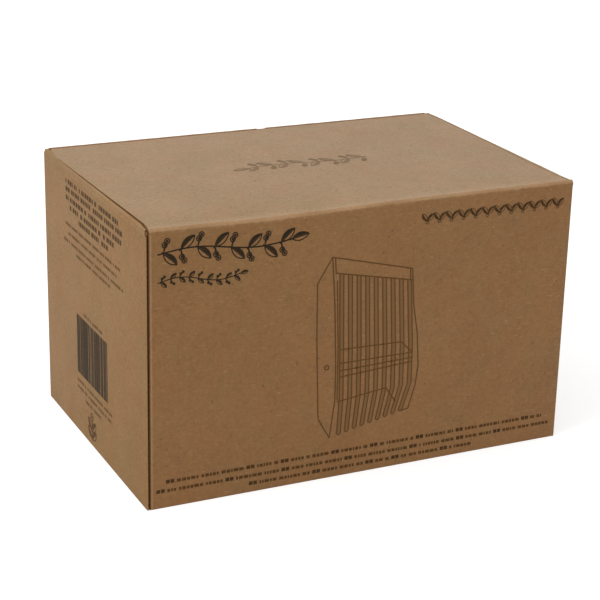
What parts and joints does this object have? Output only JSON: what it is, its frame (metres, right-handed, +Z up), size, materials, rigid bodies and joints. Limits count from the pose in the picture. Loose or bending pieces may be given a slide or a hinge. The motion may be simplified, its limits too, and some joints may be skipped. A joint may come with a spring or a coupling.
{
  "type": "boxed berry picking rake",
  "caption": "Closed corrugated carton with a hinged tuck lid, holding a wooden berry picking rake with steel tines, a non-return door and a top handle.",
  "frame": {"origin": "centre of the carton's base", "axes": "+X along the carton's length, towards the rake's tine tips; the wall that carries the lid's crease is at -Y; +Z up"},
  "size_m": [0.3, 0.198, 0.184],
  "materials": {
    "carton_board": "matt brown kraft liner on corrugated board",
    "rake_wood": "plain sanded plywood, thin matt varnish",
    "grip_wood": "turned and oiled beech",
    "tine_steel": "bright drawn wire",
    "door_steel": "galvanised sheet",
    "strap_steel": "zinc plated strip",
    "fastener_steel": "zinc plated"
  },
  "bodies": {
    "carton": {"bottom_panel": "carton_board", "front_wall": "carton_board", "back_wall": "carton_board", "left_side_outer": "carton_board", "left_side_roll": "carton_board", "left_side_inner": "carton_board", "right_side_outer": "carton_board", "right_side_roll": "carton_board", "right_side_inner": "carton_board", "ear_front_left": "carton_board", "ear_back_left": "carton_board", "ear_front_right": "carton_board", "ear_back_right": "carton_board"},
    "lid": {"lid_panel": "carton_board"},
    "tuck": {"tuck_flap": "carton_board"},
    "rake": {"side_plate_right": "rake_wood", "side_plate_left": "rake_wood", "tine_rail": "rake_wood", "end_board": "rake_wood", "roof_board": "rake_wood", "tine_bar": "rake_wood", "tines": "tine_steel", "door_axle": "tine_steel", "axle_caps": "fastener_steel", "handle_grip": "grip_wood", "handle_strap_front": "strap_steel", "handle_strap_back": "strap_steel", "grip_screws": "fastener_steel", "bracket_bolts": "fastener_steel", "bracket_nuts": "fastener_steel", "rail_screws": "fastener_steel", "end_board_screws": "fastener_steel", "roof_screws": "fastener_steel", "bar_screws": "fastener_steel"},
    "door": {"door": "door_steel"}
  },
  "joints": [
    {"name": "rake_lift", "type": "slide", "parent": "carton", "child": "rake", "axis": [0, 0, 1], "range_m": [0, 0.26]},
    {"name": "lid_hinge", "type": "hinge", "parent": "carton", "child": "lid", "pos_m": [0, -0.099, 0.184], "axis": [1, 0, 0], "range_deg": [0, 175]},
    {"name": "tuck_crease", "type": "hinge", "parent": "lid", "child": "tuck", "pos_m": [0, 0.096, 0.184], "axis": [1, 0, 0], "range_deg": [0, 45]},
    {"name": "door_hinge", "type": "hinge", "parent": "rake", "child": "door", "pos_m": [0.03117, 0, 0.0643], "axis": [0, 1, 0], "range_deg": [0, 55]}
  ],
  "couplings": [
    {"joint": "lid_hinge", "follows": "rake_lift", "rad_per_m": 11.747},
    {"joint": "tuck_crease", "follows": "rake_lift", "rad_per_m": 3.0206}
  ]
}
